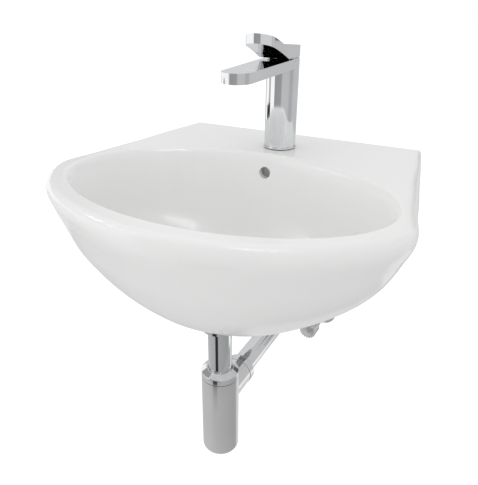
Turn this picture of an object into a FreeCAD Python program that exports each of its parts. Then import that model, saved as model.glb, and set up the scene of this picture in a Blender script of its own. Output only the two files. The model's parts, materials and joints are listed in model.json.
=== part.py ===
import FreeCAD, Part
import math
import os
import Sketcher
from FreeCAD import Placement, Rotation, Vector

# A wall-hung washbasin with its tap, waste, bottle trap and angle valves.
# Millimetres. The wall is the plane y = 0, the user stands at -y, +z is up, and the origin lies midway
# between the two wall studs. Depths are measured down from the rim, setbacks from the wall to the user.

dimensions = {
    # basin
    "rim_height": 75.0,
    "basin_width": 450.0,
    "back_inset": 44.0,
    "side_inset": 5.5,
    "basin_depth": 400.0,
    "shell_depth": 169.0,
    "shell_offset": 9.0,
    "rim_edge": 8.0,
    "bowl_rim": 27.0,
    "ledge_depth": 119.0,
    "bowl_depth": 136.0,
    "bowl_lip": 12.0,
    "deck_thickness": 14.0,
    "back_wall": 12.0,
    "shell_wall": 12.0,
    "bowl_wall": 13.0,
    "recess_depth": 66.0,
    "rib_width": 44.0,
    "rib_wall": 7.5,
    "overflow_radius": 8.0,
    "overflow_depth": 25.0,
    "channel_width": 24.0,
    "channel_gap": 9.0,
    "channel_headroom": 3.0,
    "channel_wall": 7.0,
    "channel_knee_shift": 4.0,
    "channel_knee_depth": 70.0,
    "channel_heel_shift": 33.0,
    "channel_heel_depth": 130.0,
    "channel_foot_depth": 150.0,
    "cut_overrun": 20.0,
    # wall fixing
    "stud_spacing": 200.0,
    "stud_radius": 5.0,
    "stud_bolt_radius": 4.5,
    "stud_in_wall": 70.0,
    "stud_point": 10.0,
    "stud_spare": 6.0,
    "stud_hole_radius": 8.0,
    "sleeve_flange_radius": 13.0,
    "sleeve_flange": 2.0,
    "stud_washer_radius": 15.0,
    "stud_washer_thickness": 2.5,
    "stud_nut_flats": 17.0,
    "stud_nut_height": 8.0,
    "thread_clearance": 0.05,
    "hole_clearance": 0.15,
    # tap
    "tap_setback": 73.0,
    "tap_hole_radius": 17.5,
    "base_gasket_height": 1.0,
    "base_gasket_radius": 21.8,
    "base_ring_height": 2.5,
    "base_ring_radius": 22.7,
    "base_ring_bore": 14.0,
    "column_radius": 21.7,
    "column_top": 120.0,
    "seam_chamfer": 1.2,
    "spout_reach": 148.0,
    "spout_tip_radius": 19.0,
    "spout_thickness": 12.2,
    "spout_drop": 2.5,
    "spout_step": 0.3,
    "cap_relief_width": 3.0,
    "cap_relief_depth": 4.6,
    "tap_bore_radius": 15.0,
    "tap_bore_floor": 70.0,
    "waterway_radius": 3.0,
    "waterway_height": 113.0,
    "aerator_distance": 120.0,
    "aerator_radius": 12.0,
    "aerator_seat": 8.0,
    "aerator_lip": 1.0,
    "aerator_wall": 2.0,
    "aerator_insert_height": 6.0,
    "hose_offset": 6.0,
    "inlet_offset": 4.6,
    "inlet_radius": 1.9,
    "hose_thread_radius": 5.0,
    "hose_thread_depth": 12.0,
    "clamp_offset": 10.5,
    "clamp_stud_radius": 3.0,
    "clamp_stud_depth": 15.0,
    "clamp_stud_below": 52.0,
    "clamp_radius": 21.0,
    "clamp_slot_half": 11.5,
    "clamp_slot_back": 4.5,
    "clamp_gasket_height": 3.0,
    "clamp_plate_height": 2.5,
    "clamp_nut_flats": 10.0,
    "clamp_nut_height": 8.0,
    # cartridge
    "cartridge_radius": 12.3,
    "cartridge_flange_radius": 14.7,
    "cartridge_flange_height": 7.0,
    "cartridge_height": 31.0,
    "cartridge_base": 18.0,
    "cartridge_cavity_radius": 10.2,
    "seal_radius": 3.6,
    "seal_height": 1.0,
    "outlet_port_offset": 6.5,
    "outlet_port_radius": 1.6,
    "outlet_port_depth": 12.0,
    "disc_radius": 10.1,
    "disc_height": 3.0,
    "moving_disc_radius": 6.6,
    "moving_disc_height": 4.0,
    "disc_socket_radius": 2.5,
    "disc_socket_depth": 2.6,
    "disc_hollow_radius": 4.0,
    "disc_hollow_depth": 1.0,
    "holder_gap": 1.5,
    "holder_radius": 9.9,
    "holder_neck_radius": 8.0,
    "holder_top": 112.0,
    "holder_slot_half": 5.9,
    "pivot_height": 104.5,
    "pin_radius": 1.25,
    "pin_clearance": 0.06,
    "running_gap": 0.3,
    "cap_clearance": 0.4,
    "fit_clearance": 0.05,
    "stem_half": 2.8,
    "stem_tip_radius": 1.5,
    "stem_square_height": 97.5,
    "stem_top": 128.5,
    "cartridge_nut_height": 8.0,
    # lever
    "lever_seam": 0.8,
    "cap_back_height": 13.2,
    "lever_length": 88.0,
    "lever_tip_radius": 18.5,
    "lever_root": 30.0,
    "lever_root_rise": 0.6,
    "lever_tip_rise": 22.4,
    "lever_tip_thickness": 11.3,
    "lever_underside_radius": 400.0,
    "lever_knee": 45.5,
    "lever_knee_rise": 19.3,
    "lever_top_radius": 270.0,
    "boss_radius": 8.0,
    "grub_radius": 2.5,
    "grub_length": 4.8,
    "grub_height": 124.8,
    # waste
    "drain_offset": 2.0,
    "waste_hole_radius": 23.0,
    "waste_seat_radius": 33.0,
    "waste_seat_drop": 3.0,
    "waste_seal_radius": 31.0,
    "waste_seal_height": 2.0,
    "waste_flange_radius": 31.5,
    "waste_flange_height": 2.5,
    "waste_radius": 20.9,
    "waste_wall": 3.0,
    "waste_tail_drop": 19.0,
    "waste_slot_depth": 148.0,
    "waste_slot_height": 13.0,
    "waste_slot_width": 12.0,
    "bridge_depth": 150.0,
    "bridge_height": 6.0,
    "bridge_width": 6.0,
    "bridge_boss_radius": 7.0,
    "bottom_seal_height": 3.0,
    "bottom_seal_radius": 30.0,
    "back_nut_height": 8.0,
    "back_nut_flats": 54.0,
    # plug
    "plug_lift": 8.0,
    "plug_cap_radius": 27.0,
    "plug_cap_height": 4.0,
    "plug_cap_crown": 2.0,
    "plug_closed_gap": 3.0,
    "plug_seal_height": 2.5,
    "plug_seal_inner": 14.0,
    "plug_seal_outer": 21.0,
    "plug_stem_radius": 2.5,
    "plug_sleeve_radius": 6.0,
    "plug_sleeve_height": 14.0,
    "plug_sleeve_thread_radius": 4.0,
    "plug_stem_reach": 8.0,
    # trap
    "pipe_radius": 16.0,
    "pipe_wall": 1.2,
    "pipe_flange_radius": 20.4,
    "pipe_flange_height": 2.5,
    "pipe_foot_gap": 27.0,
    "coupling_seal_height": 2.5,
    "coupling_nut_radius": 25.0,
    "coupling_nut_above": 7.0,
    "coupling_nut_lip": 4.0,
    "bottle_radius": 25.7,
    "bottle_wall": 2.0,
    "bottle_shoulder_depth": 277.4,
    "bottle_height": 128.0,
    "bottle_bottom_edge": 7.0,
    "bottle_neck_radius": 22.9,
    "bottle_neck_wall": 2.4,
    "bottle_neck_height": 6.5,
    "top_nut_seam": 0.4,
    "top_nut_height": 14.5,
    "top_nut_slope": 5.5,
    "top_nut_collar": 2.2,
    "top_nut_roof": 5.9,
    "outlet_drop": 32.6,
    "branch_radius": 21.6,
    "branch_reach": 51.0,
    "outlet_nut_radius": 22.2,
    "outlet_nut_length": 12.5,
    "outlet_nut_lip": 3.0,
    "outlet_nut_seam": 0.4,
    "branch_thread_radius": 19.9,
    "branch_thread_length": 9.0,
    "outlet_seal_depth": 4.0,
    "outlet_seal_radius": 18.1,
    "tube_insert": 20.0,
    "tube_in_wall": 45.0,
    "wall_rosette_radius": 31.0,
    "wall_rosette_height": 9.0,
    "wall_rosette_edge": 2.0,
    "wall_rosette_collar": 3.0,
    "rosette_wall": 1.2,
    # angle valves
    "valve_spacing": 122.0,
    "valve_depth": 297.0,
    "valve_in_wall": 15.0,
    "valve_thread_radius": 10.3,
    "valve_body_radius": 10.6,
    "valve_body_length": 42.0,
    "valve_bore_radius": 5.5,
    "valve_outlet_distance": 30.0,
    "valve_outlet_radius": 7.6,
    "valve_outlet_height": 25.0,
    "valve_outlet_bore": 5.05,
    "valve_tube_depth": 15.0,
    "valve_way_radius": 4.0,
    "valve_rosette_radius": 25.0,
    "valve_rosette_height": 8.0,
    "valve_rosette_edge": 1.6,
    "valve_rosette_collar": 2.4,
    "bonnet_radius": 8.6,
    "bonnet_length": 5.0,
    "bonnet_insert": 6.0,
    "bonnet_bore": 7.0,
    "spindle_radius": 3.0,
    "spindle_head_radius": 5.0,
    "spindle_head_length": 4.0,
    "knob_radius": 13.5,
    "knob_length": 24.0,
    "knob_flute_radius": 4.2,
    "knob_flute_depth": 2.0,
    "knob_socket_depth": 13.0,
    "knob_gap": 1.0,
    "outlet_nut_flats": 19.0,
    "valve_nut_height": 12.0,
    "valve_nut_lip": 2.5,
    "olive_height": 4.0,
    "olive_radius": 6.6,
    "olive_seat": 3.5,
}

# Shares of half the basin's width and of its depth: the rim's outline from the end of its straight side
# to the tip.
rim_front_shares = ((0.999, 0.675), (0.911, 0.778), (0.622, 0.915), (0.324, 0.976))
# Shares of the shell's depth, of the rim's outline in front of the shell's centre, and of it behind the
# centre.
shell_section_shares = (
    (0.237, 0.974, 1.0), (0.444, 0.895, 1.0), (0.621, 0.779, 1.0), (0.769, 0.642, 1.0),
    (0.876, 0.516, 0.93), (0.935, 0.43, 0.8), (0.976, 0.33, 0.6), (1.0, 0.24, 0.42),
)
# Shares of the bowl's depth and of its opening.
bowl_section_shares = (
    (0.2, 0.98), (0.4, 0.95), (0.6, 0.905), (0.77, 0.81), (0.89, 0.7), (0.96, 0.55), (0.99, 0.34), (1.0, 0.18),
)
# Share of the basin's depth along which its sides run straight.
straight_side_share = 0.575
side_steps = 5
knob_flutes = 8
quarter_turn = 90.0
full_turn = 360.0

doc = FreeCAD.newDocument("washbasin")
sheet = doc.addObject("Spreadsheet::Sheet", "sizes")


class Size:
    # A named size, or one worked out from named sizes, with the text that binds it to the sheet.
    def __init__(self, text, value):
        self.text = text
        self.value = value

    def combine(self, sign, other, value):
        return Size(f"({self.text} {sign} {as_size(other).text})", value)

    def __add__(self, other):
        return self.combine("+", other, self.value + as_size(other).value)

    def __sub__(self, other):
        return self.combine("-", other, self.value - as_size(other).value)

    def __mul__(self, other):
        return self.combine("*", other, self.value * as_size(other).value)

    def __truediv__(self, other):
        return self.combine("/", other, self.value / as_size(other).value)

    def __neg__(self):
        return Size(f"(0 - {self.text})", -self.value)

    def root(self):
        return Size(f"sqrt({self.text})", math.sqrt(self.value))


def as_size(number):
    return number if isinstance(number, Size) else Size(str(number), number)


class Sizes:
    pass


d = Sizes()
for row, (name, value) in enumerate(dimensions.items(), start=1):
    sheet.set(f"A{row}", name)
    sheet.set(f"B{row}", str(value))
    sheet.setAlias(f"B{row}", name)
    setattr(d, name, Size(f"sizes.{name}", value))
doc.recompute()

pieces = []


class Drawing:
    # A sketch whose corners and radii all follow the sizes.
    def __init__(self, sketch):
        self.sketch = sketch

    def drive(self, kind, size, *where):
        number = self.sketch.addConstraint(Sketcher.Constraint(kind, *where, size.value))
        self.sketch.setExpression(f"Constraints[{number}]", size.text)

    def put(self, edge, end, x, y):
        for kind, axis, size in (("DistanceX", -2, x), ("DistanceY", -1, y)):
            if isinstance(size, Size):
                self.drive(kind, size, -1, 1, edge, end)
            else:
                self.sketch.addConstraint(Sketcher.Constraint("PointOnObject", edge, end, axis))

    def circle(self, radius, x=0, y=0):
        centre = Vector(as_size(x).value, as_size(y).value, 0)
        edge = self.sketch.addGeometry(Part.Circle(centre, Vector(0, 0, 1), radius.value), False)
        self.drive("Radius", radius, edge)
        self.put(edge, 3, x, y)
        return self

    # A closed outline; arcs maps the number of a corner to the radius of the arc that leaves it, and to
    # True where that arc turns left.
    def outline(self, corners, arcs=None):
        arcs = arcs or {}
        points = [Vector(as_size(x).value, as_size(y).value, 0) for x, y in corners]
        first = self.sketch.GeometryCount
        ends = []
        for number, start in enumerate(points):
            finish = points[(number + 1) % len(points)]
            if number not in arcs:
                self.sketch.addGeometry(Part.LineSegment(start, finish), False)
                ends.append((1, 2))
                continue
            radius, left = arcs[number]
            if not left:
                start, finish = finish, start
            self.sketch.addGeometry(left_arc(start, finish, radius.value), False)
            self.drive("Radius", radius, first + number)
            ends.append((1, 2) if left else (2, 1))
        for number, (x, y) in enumerate(corners):
            edge = first + number
            following = (number + 1) % len(points)
            start, end = ends[following][0], ends[number][1]
            joint = Sketcher.Constraint("Coincident", edge, end, first + following, start)
            self.sketch.addConstraint(joint)
            self.put(edge, ends[number][0], x, y)
        return self


def left_arc(start, finish, radius):
    chord = finish - start
    rise = math.sqrt(max(radius ** 2 - chord.Length ** 2 / 4, 0))
    centre = (start + finish) / 2 + Vector(-chord.y, chord.x, 0) * (rise / chord.Length)
    angles = [math.atan2(point.y - centre.y, point.x - centre.x) for point in (start, finish)]
    if angles[1] < angles[0]:
        angles[1] += 2 * math.pi
    return Part.ArcOfCircle(Part.Circle(centre, Vector(0, 0, 1), radius), *angles)


def draw(body, role, lift=None):
    sketch = body.newObject("Sketcher::SketchObject", body.Label + "_sketch")
    plane = next(feature for feature in body.Origin.OriginFeatures if feature.Role == role)
    sketch.AttachmentSupport = (plane, [""])
    sketch.MapMode = "FlatFace"
    if lift is not None:
        sketch.setExpression("AttachmentOffset.Base.z", lift.text)
    return Drawing(sketch)


def new_body(label):
    body = doc.addObject("PartDesign::Body", label)
    body.Label = label
    return body


def shape_by(body, kind, drawing, length=None, **settings):
    feature = body.newObject("PartDesign::" + kind, f"{body.Label}_{kind.lower()}")
    feature.Profile = drawing.sketch
    if kind in ("Revolution", "Groove"):
        feature.ReferenceAxis = (drawing.sketch, ["V_Axis"])
        feature.Angle = full_turn
    if length is not None:
        feature.setExpression("Length", length.text)
    for name, setting in settings.items():
        setattr(feature, name, setting)
    return feature


def place(thing, x=0, y=0, z=0, turn=None):
    thing.Placement = Placement(Vector(), turn or Rotation())
    for axis, size in zip("xyz", (x, y, z)):
        if isinstance(size, Size):
            thing.setExpression(f"Placement.Base.{axis}", size.text)
    return thing


def keep(thing):
    pieces.append(thing)
    return thing


def turned(label, corners, arcs=None):
    body = new_body(label)
    shape_by(body, "Revolution", draw(body, "XZ_Plane").outline(corners, arcs))
    return body


# A ring of rectangular section between two radii and two heights.
def ring(label, inner, outer, low, high):
    return turned(label, [(inner, low), (outer, low), (outer, high), (inner, high)])


def hexagon_corners(flats):
    corner = flats / math.sqrt(3)
    half = flats / 2
    right = [(corner / 2, -half), (corner, 0), (corner / 2, half)]
    return right + [(-corner / 2, half), (-corner, 0), (-corner / 2, -half)]


def rectangle(x, y):
    return [(x, y), (-x, y), (-x, -y), (x, -y)]


def hex_nut(label, flats, bore, low, height):
    body = new_body(label)
    shape_by(body, "Pad", draw(body, "XY_Plane", low).outline(hexagon_corners(flats)).circle(bore), height)
    return body


def bound(kind, name, sizes, **where):
    thing = doc.addObject("Part::" + kind, name)
    for property_name, size in sizes.items():
        thing.setExpression(property_name, size.text)
    return place(thing, **where)


def cut(name, base, tool):
    result = doc.addObject("Part::Cut", name)
    result.Base = base
    result.Tool = tool
    return result


# Two mirror images of one piece, left and right of the middle, in one node.
def both_sides(label, thing):
    mirror = doc.addObject("Part::Mirroring", label + "_mirror")
    mirror.Source = thing
    mirror.Normal = Vector(1, 0, 0)
    pair = doc.addObject("Part::Compound", label)
    pair.Label = label
    pair.Links = [thing, mirror]
    return keep(pair)


out_of_wall = Rotation(Vector(1, 0, 0), quarter_turn)


bowl_width = d.basin_width - d.bowl_rim * 2
bowl_length = d.basin_depth - d.ledge_depth - d.bowl_rim
bowl_setback = d.ledge_depth + bowl_length / 2
drain_setback = bowl_setback + d.drain_offset
channel_setback = d.ledge_depth - d.channel_wall


# The ceramic basin: a lofted shell cut flat at the wall, with the bowl, the open recess behind and beside
# it, the overflow's channel in the rib that crosses the recess, and the holes.
def rim_section(depth, front_share, back_share):
    half_width = d.basin_width.value / 2
    centre = -(bowl_setback + d.shell_offset).value
    overrun = d.cut_overrun.value

    def at(x, y):
        share = front_share if y < centre else back_share
        return Vector(x * front_share, centre + (y - centre) * share, d.rim_height.value - depth)

    corner_x = half_width - d.back_inset.value
    reach = d.basin_depth.value * straight_side_share
    flare = (d.back_inset.value - d.side_inset.value) / reach
    steps = [overrun - (reach + overrun) * step / side_steps for step in range(side_steps + 1)]
    right = [(corner_x - flare * y, y) for y in steps]
    right += [(x * half_width, -y * d.basin_depth.value) for x, y in rim_front_shares]
    outline = right + [(0, -d.basin_depth.value)] + [(-x, y) for x, y in reversed(right)]
    points = [at(x, y) for x, y in outline]
    curve = Part.BSplineCurve()
    curve.interpolate(points)
    return Part.Wire([curve.toShape(), Part.makeLine(points[-1], points[0])])


def shell_solid():
    edge = d.rim_edge.value
    half_width = d.basin_width.value / 2
    sections = []
    for step in range(3):
        angle = math.radians(step * quarter_turn / 2)
        share = 1 - edge * (1 - math.sin(angle)) / half_width
        sections.append(rim_section(edge * (1 - math.cos(angle)), share, 1.0))
    for depth_share, front_share, back_share in shell_section_shares:
        sections.append(rim_section(depth_share * d.shell_depth.value, front_share, back_share))
    return Part.makeLoft(sections, True, False)


# The shell's inside under the deck, one wall smaller all round and open below.
def inner_solid():
    wall_share = d.shell_wall.value * 2 / d.basin_width.value
    depth = d.shell_depth.value
    rows = [(d.deck_thickness.value, 1.0)]
    rows += [(row[0] * depth, row[1]) for row in shell_section_shares]
    rows.append((depth + d.cut_overrun.value, rows[-1][1]))
    return Part.makeLoft([rim_section(level, share - wall_share, 1.0) for level, share in rows], True, False)


# The bowl as a solid, or the bowl with the ceramic around it where a wall is given.
def bowl_solid(name, wall=None):
    rows = []
    for step in range(3):
        angle = math.radians(step * quarter_turn / 2)
        rows.append((d.bowl_lip * (1 - math.cos(angle)), 1.0, d.bowl_lip * (1 - math.sin(angle))))
    for depth_share, opening_share in bowl_section_shares:
        depth = d.bowl_depth if wall is None else d.bowl_depth + wall
        rows.append((depth * depth_share, opening_share, as_size(0)))
    rings = []
    for number, (depth, share, spread) in enumerate(rows):
        if wall is not None:
            spread = spread + wall
        axes = {
            "MajorRadius": bowl_width / 2 * share + spread, "MinorRadius": bowl_length / 2 * share + spread}
        rings.append(bound("Ellipse", f"{name}_{number}", axes, y=-bowl_setback, z=d.rim_height - depth))
    solid = doc.addObject("Part::Loft", name)
    solid.Sections = rings
    solid.Solid = True
    return solid


def recess():
    inside = doc.addObject("Part::Feature", "inside")
    inside.Shape = inner_solid()
    low = d.rim_height - d.shell_depth - d.cut_overrun * 2
    height = d.shell_depth + d.cut_overrun * 2
    recess_setback = d.ledge_depth + d.recess_depth
    rib_setback = channel_setback - d.channel_gap - d.rib_wall
    back = bound("Box", "back_space", {
        "Length": d.basin_width, "Width": recess_setback - d.back_wall, "Height": height,
    }, x=-d.basin_width / 2, y=-recess_setback, z=low)
    rib = bound("Box", "rib", {
        "Length": d.rib_width, "Width": recess_setback - rib_setback, "Height": height,
    }, x=-d.rib_width / 2, y=-recess_setback, z=low)
    space = doc.addObject("Part::Common", "recess_space")
    space.Base = inside
    space.Tool = back
    return cut("recess", cut("recess_round_bowl", space, bowl_solid("bowl_outside", d.bowl_wall)), rib)


def overflow_channel():
    sketch = doc.addObject("Sketcher::SketchObject", "channel_sketch")
    sketch.Placement = Placement(Vector(), Rotation(Vector(1, 1, 1), quarter_turn + quarter_turn / 3))
    top = d.rim_height - d.overflow_depth + d.overflow_radius + d.channel_headroom
    knee = d.rim_height - d.channel_knee_depth
    heel = d.rim_height - d.channel_heel_depth
    foot = d.rim_height - d.channel_foot_depth
    gap = d.channel_gap
    knee_setback = channel_setback + d.channel_knee_shift
    heel_setback = channel_setback + d.channel_heel_shift
    Drawing(sketch).outline([
        (-channel_setback, top), (-knee_setback, knee), (-heel_setback, heel), (-drain_setback, foot),
        (-drain_setback, foot - gap), (gap / 2 - heel_setback, heel - gap),
        (gap - knee_setback, knee - gap / 4), (gap - channel_setback, top),
    ])
    solid = doc.addObject("Part::Extrusion", "channel")
    solid.Base = sketch
    solid.DirMode = "Custom"
    solid.Dir = Vector(1, 0, 0)
    solid.Solid = True
    solid.Symmetric = True
    solid.setExpression("LengthFwd", d.channel_width.text)
    return solid


def basin():
    shell = doc.addObject("Part::Feature", "shell")
    shell.Shape = shell_solid()
    overrun = d.cut_overrun
    behind = bound("Box", "behind_wall", {
        "Length": d.basin_width + overrun * 2, "Width": overrun * 2, "Height": d.shell_depth + overrun * 2,
    }, x=-d.basin_width / 2 - overrun, z=d.rim_height - d.shell_depth - overrun)
    tools = [
        behind,
        recess(),
        bowl_solid("bowl"),
        overflow_channel(),
        bound("Cylinder", "overflow", {"Radius": d.overflow_radius, "Height": bowl_setback - channel_setback},
              y=d.channel_gap / 2 - channel_setback, z=d.rim_height - d.overflow_depth, turn=out_of_wall),
        bound("Cylinder", "tap_hole", {"Radius": d.tap_hole_radius, "Height": d.deck_thickness + overrun * 2},
              y=-d.tap_setback, z=d.rim_height - d.deck_thickness - overrun),
        bound("Cylinder", "waste_seat", {"Radius": d.waste_seat_radius, "Height": overrun},
              y=-drain_setback, z=d.rim_height - d.bowl_depth - d.waste_seat_drop),
        bound("Cylinder", "waste_hole", {"Radius": d.waste_hole_radius, "Height": d.shell_depth},
              y=-drain_setback, z=d.rim_height - d.shell_depth - overrun),
    ]
    stud_hole = {"Radius": d.stud_hole_radius, "Height": d.back_wall + overrun}
    for side in (1, -1):
        x = d.stud_spacing / 2 * side
        tools.append(bound("Cylinder", "stud_hole", stud_hole, x=x, y=overrun / 2, turn=out_of_wall))
    body = shell
    for number, tool in enumerate(tools):
        body = cut(f"basin_{number}", body, tool)
    body.Label = "basin"
    keep(body)


# The fixing that holds the basin to the wall: on each side a stud, a sleeve in the ceramic, a washer and a
# nut. The stud is thicker in the wall, where it cuts its own thread, than where it takes the nut.
def wall_fixing():
    flange = d.back_wall + d.sleeve_flange
    washer = flange + d.stud_washer_thickness
    nut = washer + d.stud_nut_height
    bolt = d.stud_bolt_radius
    bore = bolt + d.thread_clearance
    sleeve_radius = d.stud_hole_radius - d.hole_clearance
    point = -d.stud_in_wall
    stud = turned("stud", [
        (0, point), (d.stud_radius, point + d.stud_point), (d.stud_radius, 0), (bolt, 0),
        (bolt, nut + d.stud_spare), (0, nut + d.stud_spare)])
    sleeve = turned("sleeve", [
        (bore, 0), (sleeve_radius, 0), (sleeve_radius, d.back_wall), (d.sleeve_flange_radius, d.back_wall),
        (d.sleeve_flange_radius, flange), (bore, flange)])
    plate = ring("washer", bore, d.stud_washer_radius, flange, washer)
    for label, thing in (("wall_studs", stud), ("stud_sleeves", sleeve), ("stud_washers", plate),
                         ("stud_nuts", hex_nut("nut", d.stud_nut_flats, bore, washer, d.stud_nut_height))):
        place(thing, x=d.stud_spacing / 2, turn=out_of_wall)
        both_sides(label, thing)


# Everything on the tap's own axis is drawn from the deck up.
def on_tap(thing, y=0):
    return keep(place(thing, y=as_size(y) - d.tap_setback, z=d.rim_height))


column_foot = d.base_gasket_height + d.base_ring_height
spout_top = d.column_top - d.spout_step
spout_bottom = spout_top - d.spout_thickness
aerator_low = spout_bottom - d.spout_drop * d.aerator_distance / d.spout_reach
aerator_roof = aerator_low + d.aerator_seat
cap_foot = d.column_top + d.lever_seam


# The column turns into a flat spout with a round tip; the bore takes the cartridge. The spout's top is
# hollowed round the column, where the cap's edge dips as the lever is lifted.
def tap_body():
    side = d.column_radius
    neck = side - d.seam_chamfer
    body = turned("tap_body", [(0, column_foot), (side, column_foot), (side, d.column_top - d.seam_chamfer),
                               (neck, d.column_top), (0, d.column_top)])
    reach = d.spout_reach
    profile = draw(body, "YZ_Plane").outline([
        (0, spout_top), (-reach, spout_top - d.spout_drop), (-reach, spout_bottom - d.spout_drop),
        (0, spout_bottom)])
    shape_by(body, "Pad", profile, side * 2, SideType="Symmetric")
    wide = side + d.cut_overrun
    tip = d.spout_tip_radius
    plan = draw(body, "XY_Plane", d.column_top).outline(
        [(wide, 0), (wide, -reach - d.cut_overrun), (-wide, -reach - d.cut_overrun), (-wide, 0), (-side, 0),
         (-tip, tip - reach), (0, -reach), (tip, tip - reach), (side, 0)], {5: (tip, True), 6: (tip, True)})
    shape_by(body, "Pocket", plan, d.column_top - spout_bottom + d.spout_drop + d.cut_overrun)
    above = d.column_top + d.cut_overrun
    rim = side + d.cap_relief_width
    relief = draw(body, "XZ_Plane").outline([
        (neck, d.column_top), (side, d.column_top - d.seam_chamfer), (rim, spout_top - d.cap_relief_depth),
        (rim, above), (neck, above)])
    shape_by(body, "Groove", relief)
    bore = draw(body, "XY_Plane", d.column_top).circle(d.tap_bore_radius)
    shape_by(body, "Pocket", bore, d.column_top - d.tap_bore_floor)
    waterway = draw(body, "XZ_Plane").circle(d.waterway_radius, 0, d.waterway_height)
    shape_by(body, "Pocket", waterway, d.aerator_distance, Reversed=True)
    mouth = draw(body, "XY_Plane", aerator_roof).circle(d.aerator_radius, 0, -d.aerator_distance)
    shape_by(body, "Pocket", mouth, d.aerator_seat + d.cut_overrun)
    passages = draw(body, "XY_Plane", d.tap_bore_floor)
    sockets = draw(body, "XY_Plane", column_foot + d.hose_thread_depth)
    for side_sign in (1, -1):
        passages.circle(d.inlet_radius, d.inlet_offset * side_sign)
        sockets.circle(d.hose_thread_radius, d.hose_offset * side_sign)
    shape_by(body, "Pocket", passages, d.tap_bore_floor - column_foot)
    shape_by(body, "Pocket", sockets, d.hose_thread_depth + d.cut_overrun)
    clamp_hole = draw(body, "XY_Plane", column_foot + d.clamp_stud_depth)
    clamp_hole.circle(d.clamp_stud_radius, 0, d.clamp_offset)
    shape_by(body, "Pocket", clamp_hole, d.clamp_stud_depth + d.cut_overrun)
    on_tap(body)


# What holds the tap to the deck.
def tap_fixing():
    on_tap(ring("tap_base_gasket", d.base_ring_bore, d.base_gasket_radius, 0, d.base_gasket_height))
    on_tap(ring("tap_base_ring", d.base_ring_bore, d.base_ring_radius, d.base_gasket_height, column_foot))
    stud_radius = d.clamp_stud_radius - d.thread_clearance
    stud_top = column_foot + d.clamp_stud_depth
    rod = turned("tap_mounting_stud", [(0, -d.clamp_stud_below), (stud_radius, -d.clamp_stud_below),
                                       (stud_radius, stud_top), (0, stud_top)])
    on_tap(rod, y=d.clamp_offset)
    level = -d.deck_thickness
    plates = (("tap_clamp_gasket", d.clamp_gasket_height), ("tap_clamp_plate", d.clamp_plate_height))
    for label, height in plates:
        level = level - height
        on_tap(horseshoe(label, level, height))
    nut_low = level - d.clamp_nut_height
    nut = hex_nut("tap_clamp_nut", d.clamp_nut_flats, d.clamp_stud_radius, nut_low, d.clamp_nut_height)
    on_tap(nut, y=d.clamp_offset)


# A round plate with a hole for the stud, open in front for the hoses.
def horseshoe(label, low, height):
    body = new_body(label)
    disc = draw(body, "XY_Plane", low).circle(d.clamp_radius)
    disc.circle(d.clamp_stud_radius + d.hole_clearance, 0, d.clamp_offset)
    shape_by(body, "Pad", disc, height)
    front = -d.clamp_radius - d.cut_overrun
    half = d.clamp_slot_half
    slot = draw(body, "XY_Plane", low + height).outline(
        [(half, front), (half, d.clamp_slot_back), (-half, d.clamp_slot_back), (-half, front)])
    shape_by(body, "Pocket", slot, height + d.cut_overrun)
    return body


def aerator():
    outer = d.aerator_radius - d.thread_clearance
    inner = outer - d.aerator_wall
    low = aerator_low - d.aerator_lip
    on_tap(ring("aerator_housing", inner, outer, low, aerator_roof), y=-d.aerator_distance)
    insert = turned("aerator_insert", [
        (0, low + d.aerator_lip), (inner - d.fit_clearance, low + d.aerator_lip),
        (inner - d.fit_clearance, low + d.aerator_lip + d.aerator_insert_height),
        (0, low + d.aerator_lip + d.aerator_insert_height)])
    on_tap(insert, y=-d.aerator_distance)


disc_seat = d.tap_bore_floor + d.cartridge_base
moving_disc_low = disc_seat + d.disc_height
moving_disc_top = moving_disc_low + d.moving_disc_height
holder_low = moving_disc_top + d.holder_gap
cartridge_top = d.tap_bore_floor + d.cartridge_height
cartridge_nut_top = cartridge_top + d.cartridge_nut_height


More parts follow.
